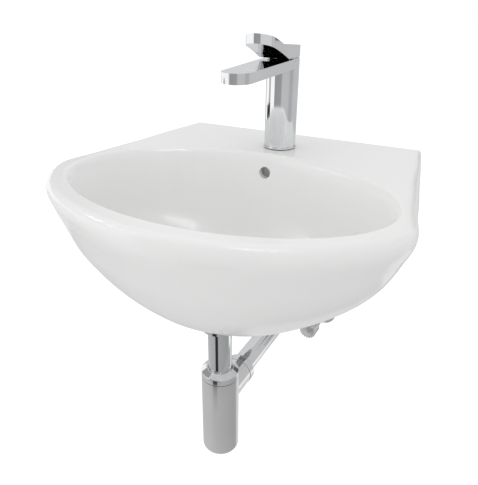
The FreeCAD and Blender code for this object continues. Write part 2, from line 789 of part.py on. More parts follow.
# The mixing cartridge: two ceramic discs in a body, a holder that turns, and a stem on a cross pin that
# pushes the upper disc.
def cartridge():
    floor = d.tap_bore_floor
    flange_low = cartridge_top - d.cartridge_flange_height
    body = turned("cartridge_body", [
        (0, floor), (d.cartridge_radius, floor), (d.cartridge_radius, flange_low),
        (d.cartridge_flange_radius, flange_low), (d.cartridge_flange_radius, cartridge_top),
        (d.cartridge_cavity_radius, cartridge_top), (d.cartridge_cavity_radius, disc_seat), (0, disc_seat)])
    ports = draw(body, "XY_Plane", disc_seat)
    seats = draw(body, "XY_Plane", floor + d.seal_height)
    for side in (1, -1):
        ports.circle(d.inlet_radius, d.inlet_offset * side)
        seats.circle(d.seal_radius, d.inlet_offset * side)
    shape_by(body, "Pocket", ports, d.cartridge_base + d.cut_overrun)
    shape_by(body, "Pocket", seats, d.seal_height + d.cut_overrun)
    outlet = draw(body, "XY_Plane", disc_seat).circle(d.outlet_port_radius, 0, -d.outlet_port_offset)
    shape_by(body, "Pocket", outlet, d.outlet_port_depth)
    window_height = disc_seat - d.outlet_port_depth + d.outlet_port_radius
    window = draw(body, "XZ_Plane").circle(d.outlet_port_radius, 0, window_height)
    shape_by(body, "Pocket", window, d.cartridge_radius + d.cut_overrun, Reversed=True)
    on_tap(body)

    seal = ring("seal", d.inlet_radius, d.seal_radius - d.fit_clearance, floor, floor + d.seal_height)
    both_sides("cartridge_seals", place(seal, x=d.inlet_offset, y=-d.tap_setback, z=d.rim_height))

    fixed = new_body("fixed_disc")
    face = draw(fixed, "XY_Plane", disc_seat).circle(d.disc_radius)
    face.circle(d.outlet_port_radius, 0, -d.outlet_port_offset)
    for side in (1, -1):
        face.circle(d.inlet_radius, d.inlet_offset * side)
    shape_by(fixed, "Pad", face, d.disc_height)
    on_tap(fixed)

    moving = new_body("moving_disc")
    plate = draw(moving, "XY_Plane", moving_disc_low).circle(d.moving_disc_radius)
    shape_by(moving, "Pad", plate, d.moving_disc_height)
    socket = draw(moving, "XY_Plane", moving_disc_top).circle(d.disc_socket_radius)
    shape_by(moving, "Pocket", socket, d.disc_socket_depth)
    hollow = draw(moving, "XY_Plane", moving_disc_low + d.disc_hollow_depth).circle(d.disc_hollow_radius)
    shape_by(moving, "Pocket", hollow, d.disc_hollow_depth + d.cut_overrun)
    on_tap(moving)

    shoulder = cartridge_top - d.running_gap
    holder = turned("stem_holder", [
        (0, holder_low), (d.holder_radius, holder_low), (d.holder_radius, shoulder),
        (d.holder_neck_radius, shoulder), (d.holder_neck_radius, d.holder_top), (0, d.holder_top)])
    slot = draw(holder, "XY_Plane", d.holder_top)
    slot.outline(rectangle(d.stem_half + d.running_gap, d.holder_slot_half))
    shape_by(holder, "Pocket", slot, d.holder_top - holder_low + d.cut_overrun)
    cross_hole(holder, d.pin_radius, d.holder_neck_radius)
    on_tap(holder)

    pin_sizes = {"Radius": d.pin_radius, "Height": d.holder_neck_radius * 2 - d.pin_radius}
    keep(bound("Cylinder", "stem_pin", pin_sizes, x=d.pin_radius / 2 - d.holder_neck_radius, y=-d.tap_setback,
               z=d.rim_height + d.pivot_height, turn=Rotation(Vector(0, 1, 0), quarter_turn)))

    stem = new_body("lever_stem")
    square = draw(stem, "XY_Plane", d.stem_square_height).outline(rectangle(d.stem_half, d.stem_half))
    shape_by(stem, "Pad", square, d.stem_top - d.stem_square_height)
    tip_low = moving_disc_top - d.disc_socket_depth + d.cap_clearance
    tip = draw(stem, "XY_Plane", d.stem_square_height).circle(d.stem_tip_radius)
    shape_by(stem, "Pad", tip, d.stem_square_height - tip_low, Reversed=True)
    cross_hole(stem, d.pin_radius + d.pin_clearance, d.stem_half)
    on_tap(stem)

    on_tap(ring("cartridge_nut", d.holder_neck_radius + d.running_gap, d.tap_bore_radius - d.thread_clearance,
                cartridge_top, cartridge_nut_top))


# The hole for the cross pin on which the lever's stem tilts.
def cross_hole(body, radius, half_length):
    hole = draw(body, "YZ_Plane").circle(radius, 0, d.pivot_height)
    shape_by(body, "Pocket", hole, half_length * 2 + d.cut_overrun, SideType="Symmetric")


# Cap and lever in one piece. Its hollow is part of a ball about the cross pin, so that the cap clears the
# column's edge as it tilts.
def lever():
    body = new_body("lever")
    side = d.column_radius
    length = d.lever_length
    tip_low = cap_foot + d.lever_tip_rise
    tip_top = tip_low + d.lever_tip_thickness
    profile = draw(body, "YZ_Plane").outline([
        (side, cap_foot), (side, cap_foot + d.cap_back_height), (-d.lever_knee, cap_foot + d.lever_knee_rise),
        (-length, tip_top), (-length, tip_low), (-d.lever_root, cap_foot + d.lever_root_rise)],
        {2: (d.lever_top_radius, True), 4: (d.lever_underside_radius, False)})
    shape_by(body, "Pad", profile, side * 2, SideType="Symmetric")
    wide = side + d.cut_overrun
    tip = d.lever_tip_radius
    plan = draw(body, "XY_Plane", tip_top + d.cut_overrun).outline(
        [(wide, wide), (-wide, wide), (-wide, -length - d.cut_overrun), (wide, -length - d.cut_overrun)])
    plan.outline([(side, 0), (0, side), (-side, 0), (-tip, tip - length), (0, -length), (tip, tip - length)],
                 {0: (side, True), 1: (side, True), 3: (tip, True), 4: (tip, True)})
    shape_by(body, "Pocket", plan, tip_top - cap_foot + d.cut_overrun * 2)
    edge_rise = d.column_top - d.seam_chamfer - d.pivot_height
    ball = (side * side + edge_rise * edge_rise).root() + d.cap_clearance
    mouth_rise = d.column_top - d.pivot_height
    mouth = (ball * ball - mouth_rise * mouth_rise).root()
    roof = d.pivot_height + (ball * ball - d.boss_radius * d.boss_radius).root()
    hollow = draw(body, "XZ_Plane").outline(
        [(d.boss_radius, d.column_top), (mouth, d.column_top), (d.boss_radius, roof)], {1: (ball, True)})
    shape_by(body, "Groove", hollow)
    half = d.stem_half + d.fit_clearance
    socket = draw(body, "XY_Plane", d.stem_top + d.running_gap).outline(rectangle(half, half))
    shape_by(body, "Pocket", socket, d.stem_top - cap_foot + d.cut_overrun)
    screw_hole = draw(body, "XZ_Plane").circle(d.grub_radius, 0, d.grub_height)
    shape_by(body, "Pocket", screw_hole, side + d.cut_overrun)
    on_tap(body)
    screw_sizes = {"Radius": d.grub_radius - d.thread_clearance, "Height": d.grub_length}
    keep(bound("Cylinder", "lever_grub_screw", screw_sizes, y=d.stem_half + d.grub_length - d.tap_setback,
               z=d.rim_height + d.grub_height, turn=out_of_wall))


# Everything on the drain's axis is drawn down from the rim.
def on_drain(thing):
    return keep(place(thing, y=-drain_setback, z=d.rim_height))


seal_seat = d.bowl_depth + d.waste_seat_drop
flange_seat = seal_seat - d.waste_seal_height
flange_top = flange_seat - d.waste_flange_height
waste_bore = d.waste_radius - d.waste_wall
plug_seat = flange_top - d.plug_closed_gap - d.plug_lift
waste_tail_depth = d.shell_depth + d.waste_tail_drop


# The waste fitting: a flanged tube through the ceramic, sealed above and below and drawn up by a nut.
def waste():
    seal_bore = d.waste_radius + d.hole_clearance
    on_drain(ring("waste_top_seal", seal_bore, d.waste_seal_radius, -seal_seat, -flange_seat))
    body = turned("waste_body", [
        (waste_bore, -flange_top), (waste_bore, -waste_tail_depth), (d.waste_radius, -waste_tail_depth),
        (d.waste_radius, -flange_seat), (d.waste_flange_radius, -flange_seat),
        (d.waste_flange_radius, -flange_top)])
    half = d.waste_slot_width / 2
    slot_low = d.waste_slot_depth + d.waste_slot_height
    slots = draw(body, "XZ_Plane").outline(
        [(half, -d.waste_slot_depth), (-half, -d.waste_slot_depth), (-half, -slot_low), (half, -slot_low)])
    shape_by(body, "Pocket", slots, (d.waste_radius + d.cut_overrun) * 2, SideType="Symmetric")
    reach = waste_bore + d.waste_wall / 2
    half = d.bridge_width / 2
    bridge_low = -d.bridge_depth - d.bridge_height
    bar = draw(body, "XY_Plane", bridge_low).outline(rectangle(reach, half))
    shape_by(body, "Pad", bar, d.bridge_height)
    shape_by(body, "Pad", draw(body, "XY_Plane", bridge_low).circle(d.bridge_boss_radius), d.bridge_height)
    hole = draw(body, "XY_Plane", -d.bridge_depth).circle(d.plug_sleeve_thread_radius + d.thread_clearance)
    shape_by(body, "Pocket", hole, d.bridge_height + d.cut_overrun)
    on_drain(body)
    seal_low = d.shell_depth + d.bottom_seal_height
    on_drain(ring("waste_bottom_seal", seal_bore, d.bottom_seal_radius, -seal_low, -d.shell_depth))
    on_drain(hex_nut("waste_back_nut", d.back_nut_flats, d.waste_radius + d.thread_clearance,
                     -seal_low - d.back_nut_height, d.back_nut_height))


# The push plug, drawn raised: a cap on a stem that slides in a sleeve on the waste's bridge.
def plug():
    sleeve_top = -d.bridge_depth + d.plug_sleeve_height
    stem_low = sleeve_top - d.plug_stem_reach
    bridge_low = -d.bridge_depth - d.bridge_height
    bore = d.plug_stem_radius + d.pin_clearance
    bore_floor = stem_low - d.plug_lift - d.cap_clearance
    on_drain(turned("plug_sleeve", [
        (0, bridge_low), (d.plug_sleeve_thread_radius, bridge_low),
        (d.plug_sleeve_thread_radius, -d.bridge_depth), (d.plug_sleeve_radius, -d.bridge_depth),
        (d.plug_sleeve_radius, sleeve_top), (bore, sleeve_top), (bore, bore_floor), (0, bore_floor)]))
    on_drain(turned("plug_stem", [
        (0, stem_low), (d.plug_stem_radius, stem_low), (d.plug_stem_radius, -plug_seat), (0, -plug_seat)]))
    seal_foot = -plug_seat - d.plug_seal_height
    on_drain(ring("plug_seal", d.plug_seal_inner, d.plug_seal_outer, seal_foot, -plug_seat))
    edge_top = -plug_seat + d.plug_cap_height
    crown = d.plug_cap_crown
    crown_radius = (d.plug_cap_radius * d.plug_cap_radius + crown * crown) / (crown * 2)
    on_drain(turned("plug_cap", [
        (0, -plug_seat), (d.plug_cap_radius, -plug_seat), (d.plug_cap_radius, edge_top), (0, edge_top + crown)],
        {2: (crown_radius, True)}))


bottle_foot_depth = d.bottle_shoulder_depth + d.bottle_height
outlet_depth = d.bottle_shoulder_depth + d.outlet_drop


# The bottle trap: the inlet pipe hangs from the waste's tail and dips into the bottle; the branch leads to
# the wall.
def trap():
    seal_low = waste_tail_depth + d.coupling_seal_height
    pipe_flange_low = seal_low + d.pipe_flange_height
    nut_low = pipe_flange_low + d.coupling_nut_lip
    pipe_bore = d.pipe_radius - d.pipe_wall
    pipe_hole = d.pipe_radius + d.hole_clearance
    on_drain(ring("trap_coupling_seal", d.pipe_radius, d.pipe_flange_radius, -seal_low, -waste_tail_depth))
    nut_top = waste_tail_depth - d.coupling_nut_above
    nut_bore = d.waste_radius + d.thread_clearance
    on_drain(turned("trap_coupling_nut", [
        (pipe_hole, -nut_low), (d.coupling_nut_radius, -nut_low), (d.coupling_nut_radius, -nut_top),
        (nut_bore, -nut_top), (nut_bore, -pipe_flange_low), (pipe_hole, -pipe_flange_low)]))
    pipe_end = d.pipe_foot_gap - bottle_foot_depth
    on_drain(turned("trap_inlet_pipe", [
        (pipe_bore, pipe_end), (d.pipe_radius, pipe_end), (d.pipe_radius, -pipe_flange_low),
        (d.pipe_flange_radius, -pipe_flange_low), (d.pipe_flange_radius, -seal_low), (pipe_bore, -seal_low)]))

    nut_foot = -d.bottle_shoulder_depth + d.top_nut_seam
    nut_head = nut_foot + d.top_nut_height
    nut_roof = nut_head - d.top_nut_roof
    neck_top = -d.bottle_shoulder_depth + d.bottle_neck_height
    neck_bore = d.bottle_neck_radius + d.thread_clearance
    on_drain(turned("trap_top_nut", [
        (neck_bore, nut_foot), (d.bottle_radius, nut_foot), (d.bottle_radius, nut_head - d.top_nut_slope),
        (pipe_hole + d.top_nut_collar, nut_head), (pipe_hole, nut_head), (pipe_hole, nut_roof),
        (neck_bore, nut_roof)]))
    on_drain(ring("trap_top_seal", d.pipe_radius + d.fit_clearance, d.bottle_neck_radius, neck_top, nut_roof))
    bottle(neck_top)
    outlet(pipe_bore, pipe_hole)


def bottle(neck_top):
    edge = d.bottle_bottom_edge
    foot = -bottle_foot_depth
    shoulder = -d.bottle_shoulder_depth
    body = turned("trap_bottle", [
        (0, foot), (d.bottle_radius - edge, foot), (d.bottle_radius, foot + edge),
        (d.bottle_radius, shoulder), (d.bottle_neck_radius, shoulder), (d.bottle_neck_radius, neck_top),
        (0, neck_top)], {1: (edge, True)})
    thread_end = d.branch_reach + d.branch_thread_length
    for radius, length in ((d.branch_radius, d.branch_reach), (d.branch_thread_radius, thread_end)):
        shape_by(body, "Pad", draw(body, "XZ_Plane").circle(radius, 0, -outlet_depth), length, Reversed=True)
    inner = d.bottle_radius - d.bottle_wall
    neck_inner = d.bottle_neck_radius - d.bottle_neck_wall
    step = inner - neck_inner
    inner_edge = edge - d.bottle_wall
    cavity = draw(body, "XZ_Plane").outline([
        (0, foot + d.bottle_wall), (inner - inner_edge, foot + d.bottle_wall), (inner, foot + edge),
        (inner, shoulder - d.bottle_wall - step), (neck_inner, shoulder - d.bottle_wall),
        (neck_inner, neck_top + d.cut_overrun), (0, neck_top + d.cut_overrun)], {1: (inner_edge, True)})
    shape_by(body, "Groove", cavity)
    bore = draw(body, "XZ_Plane").circle(d.pipe_radius + d.hole_clearance, 0, -outlet_depth)
    shape_by(body, "Pocket", bore, thread_end + d.cut_overrun)
    mouth = draw(body, "XZ_Plane", -thread_end + d.outlet_seal_depth)
    mouth.circle(d.outlet_seal_radius + d.fit_clearance, 0, -outlet_depth)
    shape_by(body, "Pocket", mouth, d.outlet_seal_depth + d.cut_overrun)
    on_drain(body)


# What runs from the bottle to the wall is drawn out from the wall.
def from_wall(thing, depth, x=0):
    return keep(place(thing, x=x, z=d.rim_height - depth, turn=out_of_wall))


def outlet(pipe_bore, pipe_hole):
    seam = drain_setback - d.branch_reach
    thread_end = seam - d.branch_thread_length
    nut_far = seam - d.outlet_nut_seam
    nut_near = nut_far - d.outlet_nut_length
    lip = nut_near + d.outlet_nut_lip
    bore = d.branch_thread_radius + d.thread_clearance
    chamfer = d.outlet_nut_lip / 2
    from_wall(turned("outlet_nut", [
        (pipe_hole, nut_near), (d.outlet_nut_radius - chamfer, nut_near),
        (d.outlet_nut_radius, nut_near + chamfer), (d.outlet_nut_radius, nut_far), (bore, nut_far),
        (bore, lip), (pipe_hole, lip)]), outlet_depth)
    from_wall(ring("outlet_seal", d.pipe_radius + d.fit_clearance, d.outlet_seal_radius, lip,
                   thread_end + d.outlet_seal_depth), outlet_depth)
    tube_end = seam + d.tube_insert
    from_wall(ring("wall_tube", pipe_bore, d.pipe_radius, -d.tube_in_wall, tube_end), outlet_depth)
    rosette("wall_rosette", d.wall_rosette_radius, d.wall_rosette_height, d.wall_rosette_edge,
            d.wall_rosette_collar, d.pipe_radius, outlet_depth)


# A thin domed cover that hides a hole in the wall.
def rosette(label, radius, height, edge, collar, pipe, depth, x=0):
    hole = pipe + d.hole_clearance
    wall = d.rosette_wall
    from_wall(turned(label, [
        (hole, height), (hole + collar, height), (radius, edge), (radius, 0), (radius - wall, 0),
        (radius - wall, edge - wall / 2), (hole + collar, height - wall), (hole, height - wall)]), depth, x)


# An angle valve: a rosette, a body with its outlet upright, a bonnet that guides the spindle, and a fluted
# knob.
def angle_valve(name, side):
    x = d.valve_spacing / 2 * side
    outlet_height = d.valve_outlet_height

    def fit(thing):
        return from_wall(thing, d.valve_depth, x)

    def upright_fit(thing):
        return keep(place(thing, x=x, y=-d.valve_outlet_distance, z=d.rim_height - d.valve_depth))

    rosette(name + "_valve_rosette", d.valve_rosette_radius, d.valve_rosette_height, d.valve_rosette_edge,
            d.valve_rosette_collar, d.valve_body_radius, d.valve_depth, x)
    body = turned(name + "_valve_body", [
        (0, -d.valve_in_wall), (d.valve_thread_radius, -d.valve_in_wall), (d.valve_thread_radius, 0),
        (d.valve_body_radius, 0), (d.valve_body_radius, d.valve_body_length), (0, d.valve_body_length)])
    outlet_place = (0, d.valve_outlet_distance)
    upright = draw(body, "XZ_Plane").circle(d.valve_outlet_radius, *outlet_place)
    shape_by(body, "Pad", upright, outlet_height, Reversed=True)
    seat = d.valve_body_length - d.bonnet_insert
    bore = draw(body, "XY_Plane", seat).circle(d.valve_bore_radius)
    shape_by(body, "Pocket", bore, seat + d.valve_in_wall + d.cut_overrun)
    bonnet_seat = draw(body, "XY_Plane", d.valve_body_length).circle(d.bonnet_bore)
    shape_by(body, "Pocket", bonnet_seat, d.bonnet_insert)
    olive_seat = (d.olive_radius + d.fit_clearance, d.olive_seat)
    tube_stop = (d.valve_outlet_bore, d.valve_tube_depth)
    for radius, depth in ((d.valve_way_radius, outlet_height), tube_stop, olive_seat):
        way = draw(body, "XZ_Plane", depth - outlet_height).circle(radius, *outlet_place)
        shape_by(body, "Pocket", way, depth + d.cut_overrun)
    fit(body)

    olive_low = outlet_height - d.olive_seat
    olive_top = olive_low + d.olive_height
    upright_fit(ring(name + "_valve_olive", d.valve_outlet_bore, d.olive_radius, olive_low, olive_top))
    nut_low = olive_top + d.valve_nut_lip - d.valve_nut_height
    nut = hex_nut(name + "_valve_outlet_nut", d.outlet_nut_flats, d.valve_outlet_bore, nut_low,
                  d.valve_nut_height)
    thread = draw(nut, "XY_Plane", olive_top).circle(d.valve_outlet_radius + d.thread_clearance)
    shape_by(nut, "Pocket", thread, d.valve_nut_height + d.cut_overrun)
    upright_fit(nut)

    bonnet_far = d.valve_body_length + d.bonnet_length
    guide = d.spindle_radius + d.fit_clearance
    insert = d.bonnet_bore - d.thread_clearance
    fit(turned(name + "_valve_bonnet", [
        (guide, seat), (insert, seat), (insert, d.valve_body_length), (d.bonnet_radius, d.valve_body_length),
        (d.bonnet_radius, bonnet_far), (guide, bonnet_far)]))
    head_far = seat - d.cap_clearance
    head_near = head_far - d.spindle_head_length
    knob_near = bonnet_far + d.knob_gap
    spindle_far = knob_near + d.knob_socket_depth
    fit(turned(name + "_valve_spindle", [
        (0, head_near), (d.spindle_head_radius, head_near), (d.spindle_head_radius, head_far),
        (d.spindle_radius, head_far), (d.spindle_radius, spindle_far), (0, spindle_far)]))
    knob_far = knob_near + d.knob_length
    edge = d.knob_flute_depth
    knob = turned(name + "_valve_knob", [
        (0, spindle_far), (guide, spindle_far), (guide, knob_near), (d.knob_radius - edge, knob_near),
        (d.knob_radius, knob_near + edge), (d.knob_radius, knob_far - edge), (d.knob_radius - edge, knob_far),
        (0, knob_far)])
    flute_place = d.knob_radius + d.knob_flute_radius - d.knob_flute_depth
    flute_shape = draw(knob, "XY_Plane", knob_far).circle(d.knob_flute_radius, flute_place)
    flute = shape_by(knob, "Pocket", flute_shape, d.knob_length + d.cut_overrun)
    flutes = knob.newObject("PartDesign::PolarPattern", name + "_flutes")
    flutes.Originals = [flute]
    flutes.Axis = (flute.Profile[0], ["N_Axis"])
    flutes.Angle = full_turn
    flutes.Occurrences = knob_flutes
    knob.Tip = flutes
    fit(knob)


def check_and_write():
    for thing in doc.Objects:
        if set(thing.State) & {"Invalid", "Error"}:
            raise RuntimeError(f"{thing.Label} failed: {thing.State}")
        base = getattr(thing, "BaseFeature", None)
        cuts = thing.TypeId in ("PartDesign::Pocket", "PartDesign::Groove")
        if cuts and thing.Shape.Volume >= base.Shape.Volume:
            raise RuntimeError(f"{thing.Label} cuts nothing")
    for thing in pieces:
        if thing.Shape.isNull() or not thing.Shape.isValid():
            raise RuntimeError(f"{thing.Label} has no valid shape")
    os.makedirs("parts", exist_ok=True)
    for thing in pieces:
        thing.Shape.exportStep(f"parts/{thing.Label}.step")
    print(len(pieces), "pieces written")


basin()
wall_fixing()
tap_body()
tap_fixing()
aerator()
cartridge()
lever()
waste()
plug()
trap()
for name, side in (("left", -1), ("right", 1)):
    angle_valve(name, side)
doc.recompute()
check_and_write()
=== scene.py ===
import bpy
import bmesh
import json
import math
from mathutils import Matrix, Vector


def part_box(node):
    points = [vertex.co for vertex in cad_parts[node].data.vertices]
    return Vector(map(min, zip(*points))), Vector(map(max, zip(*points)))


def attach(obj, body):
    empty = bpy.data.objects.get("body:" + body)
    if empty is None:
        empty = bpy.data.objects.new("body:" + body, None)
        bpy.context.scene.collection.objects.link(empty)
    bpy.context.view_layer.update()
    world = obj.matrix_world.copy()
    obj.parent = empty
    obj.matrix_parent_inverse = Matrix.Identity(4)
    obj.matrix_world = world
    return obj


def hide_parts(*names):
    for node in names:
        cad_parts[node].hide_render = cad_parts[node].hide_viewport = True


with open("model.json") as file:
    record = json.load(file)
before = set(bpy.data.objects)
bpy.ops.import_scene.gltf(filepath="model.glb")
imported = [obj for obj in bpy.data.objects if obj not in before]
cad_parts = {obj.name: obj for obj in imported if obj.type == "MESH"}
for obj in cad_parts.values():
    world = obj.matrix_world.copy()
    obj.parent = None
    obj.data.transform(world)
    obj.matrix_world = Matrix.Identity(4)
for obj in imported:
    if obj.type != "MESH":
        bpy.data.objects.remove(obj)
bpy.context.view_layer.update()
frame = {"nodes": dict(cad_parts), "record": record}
nodes = frame["nodes"]
print("frame loaded:", len(nodes), "nodes")

scene = bpy.context.scene
scene.view_settings.view_transform = "Standard"


# a socket with its operators; node() makes any other node of the same tree
class Wire:
    def __init__(self, tree, socket=None):
        self.tree = tree
        self.socket = socket

    def node(self, kind, settings=None, sockets=None, out=0):
        made = self.tree.nodes.new(kind)
        for name, value in (settings or {}).items():
            if name == "stops":
                ramp = made.color_ramp
                while len(ramp.elements) < len(value):
                    ramp.elements.new(0.5)
                for element, (place, shade) in zip(ramp.elements, value):
                    element.position = place
                    element.color = (shade, shade, shade, 1)
            else:
                setattr(made, name, value)
        for name, value in (sockets or {}).items():
            target = made.inputs[name]
            if isinstance(value, Wire):
                self.tree.links.new(value.socket, target)
            else:
                target.default_value = value
        return Wire(self.tree, made.outputs[out]) if len(made.outputs) else Wire(self.tree)

    # another output of the node that this socket belongs to
    def other(self, name):
        return Wire(self.tree, self.socket.node.outputs[name])

    def maths(self, operation, first, second=0.0):
        return self.node("ShaderNodeMath", {"operation": operation}, {0: first, 1: second})

    def __add__(self, other):
        return self.maths("ADD", self, other)

    def __radd__(self, other):
        return self.maths("ADD", other, self)

    def __sub__(self, other):
        return self.maths("SUBTRACT", self, other)

    def __rsub__(self, other):
        return self.maths("SUBTRACT", other, self)

    def __mul__(self, other):
        return self.maths("MULTIPLY", self, other)

    def __rmul__(self, other):
        return self.maths("MULTIPLY", other, self)

    def __gt__(self, other):
        return self.maths("GREATER_THAN", self, other)

    def clamp(self):
        return self.node("ShaderNodeClamp", {}, {"Value": self})

    def ramp(self, low, high, newLow=0.0, newHigh=1.0):
        return self.node("ShaderNodeMapRange", {"interpolation_type": "SMOOTHSTEP"}, {
            "Value": self, "From Min": low, "From Max": high, "To Min": newLow, "To Max": newHigh})


def newTree(name):
    material = bpy.data.materials.new(name)
    material.use_nodes = True
    material.node_tree.nodes.clear()
    return material, Wire(material.node_tree)


def noise(start, scale, detail):
    place = start.node("ShaderNodeTexCoord", out="Object")
    return start.node("ShaderNodeTexNoise", {}, {"Vector": place, "Scale": scale, "Detail": detail})


def tinted(start, first, second, share):
    return start.node("ShaderNodeMix", {"data_type": "RGBA"}, {
        "Factor": share, "A": (*first, 1), "B": (*second, 1)}, out=2)


# bump is a height, its strength and its depth in metres
def shaded(material, start, colour, rough, bump, **constants):
    height, strength, depth = bump
    normal = start.node("ShaderNodeBump", {}, {"Strength": strength, "Distance": depth, "Height": height})
    surface = start.node("ShaderNodeBsdfPrincipled", {}, {
        "Base Color": colour, "Roughness": rough, "Normal": normal, **constants})
    start.node("ShaderNodeOutputMaterial", {}, {"Surface": surface})
    return material


# roughness between two shares of its value, over a band of a noise
def roughened(pattern, look, rough):
    low, high = look["roughShares"]
    return pattern.ramp(*look["roughBand"], rough * low, rough * high)


# finishes: cloud, peel and smear are a noise's scale and detail, grain is a scale, and depth is in metres
glazeSet = {
    "light": (0.9, 0.9, 0.895), "dark": (0.891, 0.892, 0.887), "tintBand": (0.35, 0.65), "cloud": (5.0, 3.0),
    "rough": 0.16, "roughBand": (0.3, 0.7), "roughShares": (0.8, 1.25), "peel": (30.0, 1.0),
    "bump": 0.15, "depth": 0.0002, "refraction": 1.52}


def makeGlaze(name, look):
    material, start = newTree(name)
    cloud = noise(start, *look["cloud"])
    peel = noise(start, *look["peel"])
    colour = tinted(start, look["dark"], look["light"], cloud.ramp(*look["tintBand"]))
    rough = roughened(peel, look, look["rough"])
    return shaded(material, start, colour, rough, (peel, look["bump"], look["depth"]), IOR=look["refraction"])


metalSet = {
    "smear": (14.0, 4.0), "grainDetail": 3.0, "tintBand": (0.3, 0.7), "roughBand": (0.3, 0.75),
    "roughShares": (0.8, 1.3), "grainShare": 0.25, "bump": 0.2}
chromeSet = {"light": (0.86, 0.87, 0.88), "dark": (0.80, 0.81, 0.83), "rough": 0.05, "grain": 420.0, "depth": 0.00001}
satinSet = {"light": (0.86, 0.86, 0.865), "dark": (0.81, 0.81, 0.82), "rough": 0.16, "grain": 900.0, "depth": 0.00002}
brassSet = {"light": (0.74, 0.56, 0.25), "dark": (0.60, 0.43, 0.17), "rough": 0.28, "grain": 700.0, "depth": 0.00002}
steelSet = {"light": (0.62, 0.62, 0.60), "dark": (0.50, 0.50, 0.49), "rough": 0.36, "grain": 500.0, "depth": 0.00003}


def makeMetal(name, look):
    material, start = newTree(name)
    smear = noise(start, *metalSet["smear"])
    fine = noise(start, look["grain"], metalSet["grainDetail"])
    colour = tinted(start, look["dark"], look["light"], smear.ramp(*metalSet["tintBand"]))
    rough = roughened(smear, metalSet, look["rough"]) + fine * (look["rough"] * metalSet["grainShare"])
    return shaded(material, start, colour, rough, (fine, metalSet["bump"], look["depth"]), Metallic=1.0)


plainSet = {
    "mottleDetail": 4.0, "fineness": 9, "fineDetail": 2.0, "tintBand": (0.35, 0.65), "roughBand": (0.3, 0.7),
    "roughShares": (0.85, 1.15), "bump": 0.3}
rubberSet = {
    "light": (0.045, 0.045, 0.047), "dark": (0.025, 0.025, 0.027), "rough": 0.62, "grain": 60.0, "depth": 0.00005}
nylonSet = {"light": (0.80, 0.80, 0.77), "dark": (0.74, 0.74, 0.71), "rough": 0.42, "grain": 40.0, "depth": 0.00004}
discSet = {"light": (0.86, 0.84, 0.80), "dark": (0.80, 0.78, 0.74), "rough": 0.2, "grain": 50.0, "depth": 0.00001}


def makePlain(name, look):
    material, start = newTree(name)
    mottle = noise(start, look["grain"], plainSet["mottleDetail"])
    fine = noise(start, look["grain"] * plainSet["fineness"], plainSet["fineDetail"])
    colour = tinted(start, look["dark"], look["light"], mottle.ramp(*plainSet["tintBand"]))
    rough = roughened(mottle, plainSet, look["rough"])
    return shaded(material, start, colour, rough, (fine, plainSet["bump"], look["depth"]))


finishes = {
    "glaze": makeGlaze("glazedCeramic", glazeSet),
    "polished_chrome": makeMetal("mirrorChrome", chromeSet),
    "satin_chrome": makeMetal("satinChrome", satinSet),
    "brass": makeMetal("turnedBrass", brassSet),
    "steel": makeMetal("zincedSteel", steelSet),
    "rubber": makePlain("blackRubber", rubberSet),
    "white_plastic": makePlain("whiteNylon", nylonSet),
    "disc_ceramic": makePlain("groundDisc", discSet),
}
print("finishes made:", len(finishes))

slotOf = {row["node"]: row["material_slot"] for row in frame["record"]["subparts"]}
bodyOf = {name: body for body, names in frame["record"]["behaviour"]["bodies"].items() for name in names}
for name, node in nodes.items():
    node.data.materials.clear()
    node.data.materials.append(finishes[slotOf[name]])


# a piece takes the place of a solid, which is hidden: it rides on the same body
def standFor(made, name):
    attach(made, bodyOf[name])
    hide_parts(name)


# a copy of a solid with rounded edges and smooth shading; distances in metres, angles in degrees
softSet = {"merge": 2e-6, "flat": 0.3, "sharp": 30.0, "steps": 3, "flatWeight": 90}


def soften(name, piece, edge, reshape=None):
    sharp = math.radians(softSet["sharp"])
    mesh = nodes[name].data.copy()
    shape = bmesh.new()
    shape.from_mesh(mesh)
    bmesh.ops.remove_doubles(shape, verts=shape.verts, dist=softSet["merge"])
    if reshape:
        reshape(shape)
    bmesh.ops.dissolve_limit(shape, angle_limit=math.radians(softSet["flat"]), verts=shape.verts, edges=shape.edges)
    for face in shape.faces:
        face.smooth = True
    shape.to_mesh(mesh)
    shape.free()
    mesh.set_sharp_from_angle(angle=sharp)
    mesh.materials.clear()
    mesh.materials.append(finishes[slotOf[name]])
    made = bpy.data.objects.new(piece, mesh)
    scene.collection.objects.link(made)
    bevel = made.modifiers.new("edge", "BEVEL")
    bevel.width = edge
    bevel.segments = softSet["steps"]
    bevel.limit_method = "ANGLE"
    bevel.angle_limit = sharp
    level = made.modifiers.new("flats", "WEIGHTED_NORMAL")
    level.keep_sharp = True
    level.weight = softSet["flatWeight"]
    plain = bpy.data.meshes.new_from_object(made.evaluated_get(bpy.context.evaluated_depsgraph_get()))
    made.modifiers.clear()
    made.data = plain
    plain.name = piece
    bpy.data.meshes.remove(mesh)
    standFor(made, name)


# the basin's glaze: a fuller roll along the rim, a wider lip in front of the bowl, and a leaner shell below it;
# a pair is where a change sets in and where it is full, by depth below the rim or by distance from the wall
basinSet = {
    "halfWidth": 0.2257, "backHalfWidth": 0.1811, "widest": -0.26, "frontReach": 0.1404,
    "bowlMiddle": -0.246, "bowlHalfWidth": 0.2075, "bowlHalfDepth": 0.137,
    "roll": 0.0062, "rollBand": 0.0145, "rollFade": 8, "widen": 0.9, "lower": 0.003, "clearOfWall": (0.06, 0.14),
    "lip": 0.005, "lipRoll": 0.003, "lipRollDepth": (0, 0.008), "lipEnd": (0.012, 0.08), "lipFront": (0.27, 0.37),
    "shellTop": 0.008, "bowlFacing": -0.2, "inFacing": 0.1, "upFacing": 0.3}
